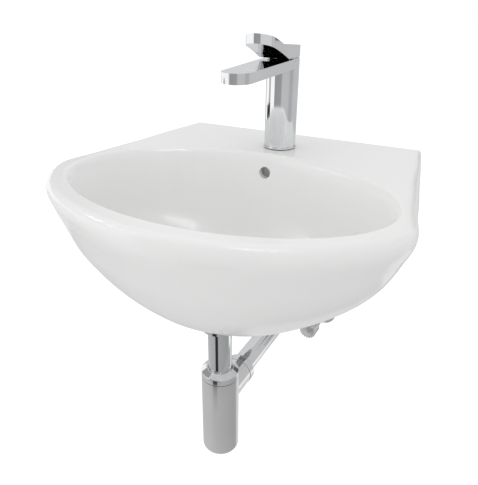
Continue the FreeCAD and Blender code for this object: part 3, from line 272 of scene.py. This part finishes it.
# how far the shell moves inward, and where: by depth, across x and by distance from the wall
leans = (
    {"by": 0.0044, "start": (0.02, 0.07), "end": (0.085, 0.15), "across": (0.17, 0.02), "front": (0.13, 0.2)},
    {"by": 0.0042, "start": (0.006, 0.024), "end": (0.03, 0.08), "across": (0, -0.15), "front": (0.13, 0.2)},
    {"by": 0.0021, "start": (0.008, 0.04), "end": (0.11, 0.165), "across": (0.02, 0.14), "front": (0.05, 0.15)},
)


def ease(value, low, high):
    share = min(max((value - low) / (high - low), 0.0), 1.0)
    return share * share * (3 - 2 * share)


# distance from the rim's outline and the way inward from it: half an oval in front, straight sides behind it
def fromOutline(x, y):
    wide, deep, widest = basinSet["halfWidth"], basinSet["frontReach"], basinSet["widest"]
    if y < widest:
        reach = math.hypot(x / wide, (y - widest) / deep)
        away = Vector((x / wide ** 2, (y - widest) / deep ** 2, 0)).normalized()
        return (1 - reach) * math.hypot(away.x * wide, away.y * deep), -away
    taper = (wide - basinSet["backHalfWidth"]) / -widest
    return wide - taper * (y - widest) - abs(x), -Vector((math.copysign(1, x), taper, 0)).normalized()


def overBowl(x, y):
    return math.hypot(x / basinSet["bowlHalfWidth"], (y - basinSet["bowlMiddle"]) / basinSet["bowlHalfDepth"]) < 1


def reshapeBasin(shape):
    top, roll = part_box("basin")[1].z, basinSet["roll"]
    fade = roll * basinSet["rollFade"]
    moves = []
    shape.normal_update()
    for corner in shape.verts:
        x, y, z = corner.co
        side, depth = corner.normal, top - z
        gap, inward = fromOutline(x, y)
        inBowl = overBowl(x, y) and side.z > basinSet["bowlFacing"]
        clear = ease(-y, *basinSet["clearOfWall"])
        move = Vector()
        if inBowl:
            fuller = basinSet["lipRoll"] * ease(depth, *basinSet["lipRollDepth"]) + basinSet["lip"]
            move.y = fuller * (1 - ease(depth, *basinSet["lipEnd"])) * ease(-y, *basinSet["lipFront"])
        elif gap < basinSet["rollBand"] and depth < fade:
            share = min(depth / roll, 1.0)
            move = inward * (basinSet["widen"] * roll * (1 - math.sqrt(1 - (1 - share) ** 2)) * clear)
            move.z = -basinSet["lower"] * ease(share, 0, 1) * (1 - ease(depth, roll, fade)) * clear
        facesOut = side.dot(inward) < basinSet["inFacing"] and side.z < basinSet["upFacing"]
        if not inBowl and depth > basinSet["shellTop"] and facesOut:
            for lean in leans:
                down = ease(depth, *lean["start"]) * (1 - ease(depth, *lean["end"]))
                move += inward * (lean["by"] * down * ease(x, *lean["across"]) * ease(-y, *lean["front"]))
        moves.append((corner, move))
    for corner, move in moves:
        corner.co += move


softEdges = {
    "basin": 0.0012, "tap_body": 0.0016, "lever": 0.0015, "tap_base_ring": 0.0004, "plug_cap": 0.0008,
    "trap_bottle": 0.0005, "trap_top_nut": 0.0006, "trap_inlet_pipe": 0.0003, "outlet_nut": 0.0005,
    "wall_tube": 0.0003, "wall_rosette": 0.0004, "left_valve_rosette": 0.0003, "right_valve_rosette": 0.0003,
    "left_valve_body": 0.0003, "right_valve_body": 0.0003,
}
for name, edge in softEdges.items():
    first, *words = name.split("_")
    piece = first + "".join(word.title() for word in words) + "Soft"
    soften(name, piece, edge, reshapeBasin if name == "basin" else None)
print("edges softened:", len(softEdges))


# a new geometry tree, its first wire and its inputs by name
def newShape(name, inputs):
    tree = bpy.data.node_groups.new(name, "GeometryNodeTree")
    for label, kind in inputs.items():
        tree.interface.new_socket(name=label, in_out="INPUT", socket_type="NodeSocket" + kind)
    tree.interface.new_socket(name="Solid", in_out="OUTPUT", socket_type="NodeSocketGeometry")
    start = Wire(tree)
    given = start.node("NodeGroupInput")
    return tree, start, {label: given.other(label) for label in inputs}


def endShape(start, solid, finish):
    whole = start.node("GeometryNodeRealizeInstances", {}, {"Geometry": solid})
    coated = start.node("GeometryNodeSetMaterial", {}, {"Geometry": whole, "Material": finish})
    start.node("NodeGroupOutput", {}, {"Solid": coated})


def flatCircle(start, resolution, radius):
    circle = start.node("GeometryNodeCurvePrimitiveCircle", {"mode": "RADIUS"}, {
        "Resolution": resolution, "Radius": radius})
    return start.node("GeometryNodeSetCurveNormal", {"mode": "Z_UP"}, {"Curve": circle})


# a profile spun about its axis, with round ribs on its rim where ribs are asked for;
# the ribs grow between two shares of the rim's radius
ribShares = (0.5, 0.88)
mergeGap = 1e-6


def makeTurner():
    tree, start, given = newShape("turnedSolid", {
        "Profile": "Geometry", "Hub": "Float", "Steps": "Int", "Ribs": "Int", "Depth": "Float", "Rim": "Float",
        "Finish": "Material"})
    line = start.node("GeometryNodeMeshToCurve", {}, {"Mesh": given["Profile"]})
    circle = flatCircle(start, given["Steps"], given["Hub"])
    spun = start.node("GeometryNodeCurveToMesh", {}, {"Curve": circle, "Profile Curve": line})
    across = start.node("ShaderNodeSeparateXYZ", {}, {"Vector": start.node("GeometryNodeInputPosition")})
    along = across.other("Y")
    outward = start.maths("SQRT", across * across + along * along)
    halfTurns = start.maths("ARCTAN2", along, across) * given["Ribs"] * 0.5
    wave = start.maths("ABSOLUTE", start.maths("SINE", halfTurns))
    groove = (1.0 - wave) * (1.0 - wave)
    grown = outward.ramp(*(given["Rim"] * share for share in ribShares))
    pull = start.maths("DIVIDE", given["Depth"] * groove * grown, outward)
    inward = start.node("ShaderNodeCombineXYZ", {}, {"X": across * pull * -1.0, "Y": along * pull * -1.0})
    ribbed = start.node("GeometryNodeSetPosition", {}, {"Geometry": spun, "Offset": inward})
    merged = start.node("GeometryNodeMergeByDistance", {}, {"Geometry": ribbed, "Distance": mergeGap})
    endShape(start, merged, given["Finish"])
    return tree


# rows of six-sided cells inside a circle
def makeComb():
    tree, start, given = newShape("cellComb", {
        "Blank": "Geometry", "Count": "Int", "Pitch": "Float", "Bar": "Float", "Height": "Float", "Reach": "Float",
        "Finish": "Material"})
    gaps = given["Count"] - 1.0
    rowGap = given["Pitch"] * (math.sqrt(3) / 2)
    grid = start.node("GeometryNodeMeshGrid", {}, {
        "Size X": given["Pitch"] * gaps, "Size Y": rowGap * gaps,
        "Vertices X": given["Count"], "Vertices Y": given["Count"]})
    row = start.maths("MODULO", start.node("GeometryNodeInputIndex"), given["Count"])
    odd = start.maths("MODULO", row, 2.0)
    shift = start.node("ShaderNodeCombineXYZ", {}, {"X": (odd - 0.5) * given["Pitch"] * 0.5})
    shifted = start.node("GeometryNodeSetPosition", {}, {"Geometry": grid, "Offset": shift})
    place = start.node("GeometryNodeInputPosition")
    outward = start.node("ShaderNodeVectorMath", {"operation": "LENGTH"}, {0: place}, out="Value")
    kept = start.node("GeometryNodeDeleteGeometry", {"domain": "POINT"}, {
        "Geometry": shifted, "Selection": outward > given["Reach"]})
    hexagon = flatCircle(start, 6, (given["Pitch"] - given["Bar"]) * (1 / math.sqrt(3)))
    bar = start.node("GeometryNodeCurvePrimitiveQuadrilateral", {"mode": "RECTANGLE"}, {
        "Width": given["Bar"], "Height": given["Height"]})
    cell = start.node("GeometryNodeCurveToMesh", {}, {"Curve": hexagon, "Profile Curve": bar})
    cells = start.node("GeometryNodeInstanceOnPoints", {}, {
        "Points": kept, "Instance": cell, "Rotation": (0.0, 0.0, math.pi / 6)})
    endShape(start, cells, given["Finish"])
    return tree


turner, comb = makeTurner(), makeComb()


# runs a tree on a bare mesh and gives back the plain mesh that it makes
def grow(tree, source, values):
    helper = bpy.data.objects.new("helper", source)
    scene.collection.objects.link(helper)
    job = helper.modifiers.new("grow", "NODES")
    job.node_group = tree
    places = {item.name: item.identifier for item in tree.interface.items_tree if item.in_out == "INPUT"}
    for label, value in values.items():
        job[places[label]] = value
    grown = bpy.data.meshes.new_from_object(helper.evaluated_get(bpy.context.evaluated_depsgraph_get()))
    bpy.data.objects.remove(helper)
    bpy.data.meshes.remove(source)
    return grown


# corners of a profile rounded: rows of radius, height and rounding
def roundOff(rows, steps=4):
    points = []
    for index, (radius, height, size) in enumerate(rows):
        here = Vector((radius, height))
        if not size:
            points.append(here)
            continue
        before = (Vector(rows[index - 1][:2]) - here).normalized() * size
        after = (Vector(rows[(index + 1) % len(rows)][:2]) - here).normalized() * size
        points += [here + before * (1 - k / steps) ** 2 + after * (k / steps) ** 2 for k in range(steps + 1)]
    return points


def turned(rows, finish, steps, ribs=0, depth=0.0):
    hub = 0.05
    points = roundOff(rows)
    edges = [(k, k + 1) for k in range(len(points) - 1)]
    profile = bpy.data.meshes.new("profile")
    profile.from_pydata([(r - hub, -h, 0) for r, h in points], edges, [])
    return grow(turner, profile, {
        "Hub": hub, "Steps": steps, "Ribs": ribs, "Depth": depth, "Rim": max(r for r, h in points), "Finish": finish})


# joins grown meshes, each at its place, into one piece that stands for a solid
def stand(name, piece, parts, angle=35.0):
    shape = bmesh.new()
    for mesh, place in parts:
        mesh.transform(place)
        shape.from_mesh(mesh)
        bpy.data.meshes.remove(mesh)
    bmesh.ops.recalc_face_normals(shape, faces=shape.faces)
    for face in shape.faces:
        face.smooth = True
        face.material_index = 0
    mesh = bpy.data.meshes.new(piece)
    shape.to_mesh(mesh)
    shape.free()
    mesh.materials.append(finishes[slotOf[name]])
    mesh.set_sharp_from_angle(angle=math.radians(angle))
    made = bpy.data.objects.new(piece, mesh)
    scene.collection.objects.link(made)
    standFor(made, name)


outOfWall = Matrix.Rotation(math.radians(90), 4, "X")

# the valves' knobs
knobSet = {
    "radius": 0.0135, "edge": 0.0022, "bore": 0.0031, "socket": 0.013, "crown": 0.0009,
    "boreRound": 0.0003, "faceRound": 0.0008, "rimRound": 0.001, "ribs": 18, "depth": 0.0027, "stepsPerRib": 8}


def addKnob(side):
    name = side + "_valve_knob"
    low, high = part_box(name)
    length, radius, edge = high.y - low.y, knobSet["radius"], knobSet["edge"]
    bore, socket = knobSet["bore"], knobSet["socket"]
    faceRound, rimRound = knobSet["faceRound"], knobSet["rimRound"]
    rows = [
        (0, socket, 0), (bore, socket, 0), (bore, 0, knobSet["boreRound"]), (radius - edge, 0, faceRound),
        (radius, edge, rimRound), (radius, length - edge, rimRound),
        (radius - edge, length - knobSet["crown"], faceRound), (0, length, 0)]
    steps = knobSet["ribs"] * knobSet["stepsPerRib"]
    knob = turned(rows, finishes[slotOf[name]], steps, knobSet["ribs"], knobSet["depth"])
    place = Matrix.Translation(((low.x + high.x) / 2, high.y, (low.z + high.z) / 2)) @ outOfWall
    stand(name, side + "ValveKnobRibbed", [(knob, place)])


# the jet insert in the spout: cells under a plate
jetSet = {
    "count": 15, "pitch": 0.0017, "bar": 0.0004, "deep": 0.0024, "rim": 0.0006, "edge": 0.0002, "inset": 0.62,
    "steps": 64}


def addJet():
    finish = finishes[slotOf["aerator_insert"]]
    low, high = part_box("aerator_insert")
    radius, height, deep, edge = (high.x - low.x) / 2, high.z - low.z, jetSet["deep"], jetSet["edge"]
    inner = radius - jetSet["rim"]
    rows = [(0, deep, 0), (inner, deep, 0), (inner, 0, edge), (radius, 0, edge), (radius, height, 0), (0, height, 0)]
    plate = turned(rows, finish, jetSet["steps"])
    cells = grow(comb, bpy.data.meshes.new("blank"), {
        "Count": jetSet["count"], "Pitch": jetSet["pitch"], "Bar": jetSet["bar"], "Height": deep,
        "Reach": radius - jetSet["pitch"] * jetSet["inset"], "Finish": finish})
    place = Matrix.Translation(((low.x + high.x) / 2, (low.y + high.y) / 2, low.z))
    stand("aerator_insert", "aeratorCells", [(plate, place), (cells, place @ Matrix.Translation((0, 0, deep / 2)))])


# the wall studs' threads
studSet = {"pitch": 0.0015, "depth": 0.0006, "point": 0.0012, "steps": 28, "angle": 75.0}


def addStuds():
    low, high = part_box("wall_studs")
    radius, length = (high.z - low.z) / 2, high.y - low.y
    pitch, point = studSet["pitch"], studSet["point"]
    root = radius - studSet["depth"]
    rows = [(0, 0, 0), (root - point / 2, 0, 0)]
    for k in range(int((length - 2 * point) / pitch)):
        rows += [(root, point + k * pitch, 0), (radius, point + (k + 0.5) * pitch, 0)]
    rows += [(root - point / 2, length, 0), (0, length, 0)]
    studs = []
    for x in (low.x + radius, high.x - radius):
        stud = turned(rows, finishes[slotOf["wall_studs"]], studSet["steps"])
        studs.append((stud, Matrix.Translation((x, high.y, (low.z + high.z) / 2)) @ outOfWall))
    stand("wall_studs", "wallStudsThreaded", studs, studSet["angle"])


addKnob("left")
addKnob("right")
addJet()
addStuds()
print("grown by nodes: knobs, jet insert, studs")

# floor, surround and lamps
stageSet = {
    "floor": -0.775, "reach": 14.0, "paper": (0.74, 0.74, 0.74), "glow": 0.45,
    "centre": (0.0, -0.15), "radius": 1.5, "top": 1.5, "lift": 0.004, "sides": 48, "panelSides": 6}


def addMesh(name, points, faces, material):
    mesh = bpy.data.meshes.new(name)
    mesh.from_pydata(points, [], faces)
    made = bpy.data.objects.new(name, mesh)
    mesh.materials.append(material)
    scene.collection.objects.link(made)
    return made


# seen in reflections alone
def addCard(name, points, faces, material, centre=(0.0, 0.0)):
    made = addMesh(name, points, faces, material)
    made.visible_camera = made.visible_diffuse = made.visible_shadow = made.visible_transmission = False
    made.location = (*centre, 0.0)


# 1 for the camera, for reflections and for views through something
def seenBy(start):
    ray = start.node("ShaderNodeLightPath", out="Is Camera Ray")
    return (ray + ray.other("Is Glossy Ray") + ray.other("Is Transmission Ray")).clamp()


# white to the camera and in reflections, a shade darker where a shadow falls
def makeFloor():
    material, start = newTree("paperFloor")
    strength = seenBy(start) * stageSet["glow"]
    paper = start.node("ShaderNodeBsdfDiffuse", {}, {"Color": (*stageSet["paper"], 1)})
    glow = start.node("ShaderNodeEmission", {}, {"Color": (1, 1, 1, 1), "Strength": strength})
    both = start.node("ShaderNodeAddShader", {}, {0: paper, 1: glow})
    start.node("ShaderNodeOutputMaterial", {}, {"Surface": both})
    return material


def addFloor():
    reach, level = stageSet["reach"], stageSet["floor"]
    corners = [(-reach, -reach, level), (reach, -reach, level), (reach, reach, level), (-reach, reach, level)]
    addMesh("floor", corners, [(0, 1, 2, 3)], makeFloor())


# shades by bearing in degrees, 0 in front of the basin and 90 at its right
def ringed(start, bearing, shades):
    stops = [(degrees / 360 + 0.5, shade) for degrees, shade in shades]
    return start.node("ShaderNodeValToRGB", {"stops": stops}, {"Fac": bearing})


# near holds the shades close to the centre, and the radii between which they give way
def makeCard(name, shades, near=None):
    material, start = newTree(name)
    place = start.node("ShaderNodeTexCoord", out="Object")
    across = start.node("ShaderNodeSeparateXYZ", {}, {"Vector": place}, out="X")
    along = across.other("Y")
    bearing = start.maths("ARCTAN2", across, -1.0 * along) * (0.5 / math.pi) + 0.5
    shade = ringed(start, bearing, shades)
    if near:
        inner, outer, innerShades = near
        plain = ringed(start, bearing, innerShades)
        outward = start.maths("SQRT", across * across + along * along)
        shade = plain + (shade - plain) * outward.ramp(inner, outer)
    glow = start.node("ShaderNodeEmission", {}, {"Color": shade, "Strength": 1.0})
    start.node("ShaderNodeOutputMaterial", {}, {"Surface": glow})
    return material


def evenCard(name, shade):
    return makeCard(name, [(-180, shade), (180, shade)])


wallShades = [
    (-180, 0.7), (-165, 0.72), (-135, 0.68), (-128, 0.45), (-124, 0.3), (-119, 1.08), (-34, 1.08), (-31, 0.33),
    (18, 0.36), (24, 0.56), (72, 0.56), (80, 0.46), (104, 0.46), (110, 0.58), (170, 0.58), (180, 0.5)]
floorShades = [
    (-180, 0.48), (-120, 0.55), (-60, 0.48), (-15, 0.44), (-13, 0.03), (9, 0.03), (11, 0.40), (70, 0.36),
    (112, 0.33), (120, 1.0), (146, 1.0), (152, 0.48), (180, 0.48)]
nearShades = [
    (-180, 0.72), (-154, 0.72), (-148, 0.57), (-40, 0.57), (30, 0.47), (100, 0.41), (134, 0.41), (144, 0.72),
    (180, 0.72)]
nearRadii = (0.762, 0.778)
roofShades = [(-180, 0.55), (-90, 0.7), (0, 0.6), (90, 0.52), (180, 0.55)]


def onRing(radius, turn):
    return radius * math.sin(turn), -radius * math.cos(turn)


def addSurround():
    count = stageSet["sides"]
    low, high = stageSet["floor"] + stageSet["lift"], stageSet["top"]
    ring = [onRing(stageSet["radius"], 2 * math.pi * k / count) for k in range(count)]
    lowRing, highRing = [(x, y, low) for x, y in ring], [(x, y, high) for x, y in ring]
    sides = [(k, (k + 1) % count, count + (k + 1) % count, count + k) for k in range(count)]
    disc, centre = [tuple(range(count))], stageSet["centre"]
    addCard("surroundWall", lowRing + highRing, sides, makeCard("surroundWall", wallShades), centre)
    addCard("surroundFloor", lowRing, disc, makeCard("surroundFloor", floorShades, (*nearRadii, nearShades)), centre)
    addCard("surroundRoof", highRing, disc, makeCard("surroundRoof", roofShades), centre)


# small panels for reflections: bearings in degrees, heights in metres, shade, distance from the surround
panels = {
    "darkPanel": ((-100, -66), (-0.21, -0.148), 0.02, 0.03),
    "greyPanel": ((-84, -66), (-0.148, -0.03), 0.5, 0.03),
    "leftHighPanel": ((-128, -50), (0.28, 1.45), 0.35, 0.03),
    "leftLowPanel": ((-128, -34), (-0.76, -0.24), 0.74, 0.03),
    "rightLitPanel": ((20, 108), (0.05, 0.35), 0.72, 0.03),
    "backPanel": ((146, 172), (0.1, 0.62), 0.12, 0.03),
    "rimPanel": ((-68, -48), (0.66, 0.86), 4.0, 0.05),
}


def addPanels():
    count = stageSet["panelSides"]
    faces = [(k, k + 1, k + count + 2, k + count + 1) for k in range(count)]
    for name, ((first, last), heights, shade, gap) in panels.items():
        turns = [math.radians(first + (last - first) * k / count) for k in range(count + 1)]
        points = [(*onRing(stageSet["radius"] - gap, turn), height) for height in heights for turn in turns]
        addCard(name, points, faces, evenCard(name, shade), stageSet["centre"])


softBox = {"middle": (0.42, -1.34), "half": (0.34, 0.2), "height": 1.46, "shade": 5.0}


def addSoftBox():
    (x, y), (wide, deep), height = softBox["middle"], softBox["half"], softBox["height"]
    corners = [
        (x - wide, y - deep, height), (x + wide, y - deep, height),
        (x + wide, y + deep, height), (x - wide, y + deep, height)]
    addCard("softBox", corners, [(3, 2, 1, 0)], evenCard("softBox", softBox["shade"]))


addFloor()
addSurround()
addPanels()
addSoftBox()

# full white where the sky is seen, a little less as light
airLight = 0.92
world = bpy.data.worlds.new("studio")
scene.world = world
world.use_nodes = True
world.node_tree.nodes.clear()
sky = Wire(world.node_tree)
skyLight = airLight + (1 - airLight) * seenBy(sky)
air = sky.node("ShaderNodeBackground", {}, {"Color": (1, 1, 1, 1), "Strength": skyLight})
sky.node("ShaderNodeOutputWorld", {}, {"Surface": air})

# lamps: place, size in metres and power in watts
lampTarget = Vector((0.0, -0.2, 0.0))
lamps = {
    "topBox": ((-0.2, -0.5, 1.4), (1.2, 1.0), 0.6),
    "leftBox": ((-1.2, -1.1, 0.1), (0.8, 1.0), 2.5),
}
for name, (place, size, power) in lamps.items():
    lamp = bpy.data.lights.new(name, "AREA")
    lamp.shape = "RECTANGLE"
    lamp.size, lamp.size_y = size
    lamp.energy = power
    made = bpy.data.objects.new(name, lamp)
    made.location = place
    made.rotation_mode = "QUATERNION"
    made.rotation_quaternion = (lampTarget - Vector(place)).to_track_quat("-Z", "Y")
    made.visible_glossy = False  # the surround gives the reflections
    scene.collection.objects.link(made)
print("stage and lamps set")

cameraSet = {
    "place": (0.28056, -0.74112, 0.27523), "azimuth": 28.43, "drop": 25.68, "lens": 38.74, "sensor": 36.0,
    "shift": (0.0207, -0.0054), "clip": (0.02, 60.0)}
turn, drop = math.radians(cameraSet["azimuth"]), math.radians(cameraSet["drop"])
aim = Vector((-math.sin(turn) * math.cos(drop), math.cos(turn) * math.cos(drop), -math.sin(drop)))
camera = bpy.data.objects.new("camera", bpy.data.cameras.new("camera"))
camera.data.lens = cameraSet["lens"]
camera.data.sensor_width = cameraSet["sensor"]
camera.data.shift_x, camera.data.shift_y = cameraSet["shift"]
camera.data.clip_start, camera.data.clip_end = cameraSet["clip"]
camera.location = cameraSet["place"]
camera.rotation_mode = "QUATERNION"
camera.rotation_quaternion = aim.to_track_quat("-Z", "Y")
scene.collection.objects.link(camera)
scene.camera = camera
